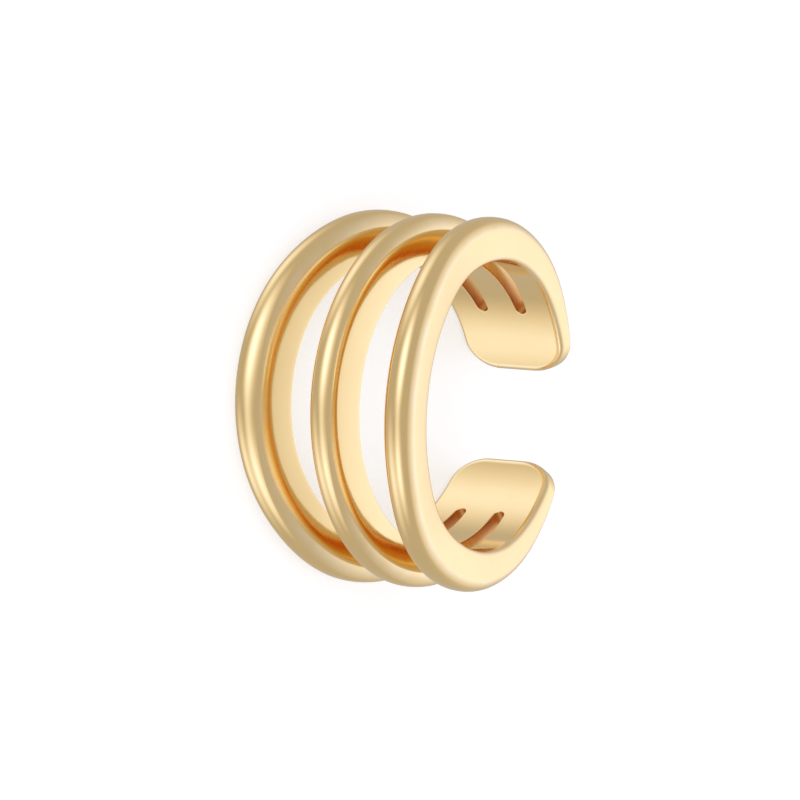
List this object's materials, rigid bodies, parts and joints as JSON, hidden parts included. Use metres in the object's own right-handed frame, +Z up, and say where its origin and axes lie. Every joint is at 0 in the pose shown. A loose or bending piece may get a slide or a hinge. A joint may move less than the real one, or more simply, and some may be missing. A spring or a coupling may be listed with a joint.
{
  "type": "ear cuff",
  "caption": "Small open metal ring that clips on an ear's rim: domed bands fanned apart at the back run together into two curved grip plates either side of the opening.",
  "frame": {"origin": "centre of the bounding box's base, on the surface the cuff lies on", "axes": "+Z up, about 8 degrees off the ring's own axis because the cuff lies on its lower side; +Y towards the opening between the grip plates; -Y the fanned back; the two plates mirror each other across X"},
  "size_m": [0.012, 0.0118, 0.0069],
  "materials": {
    "gold": "polished"
  },
  "bodies": {
    "root": {"ear_cuff": "gold"}
  },
  "joints": []
}
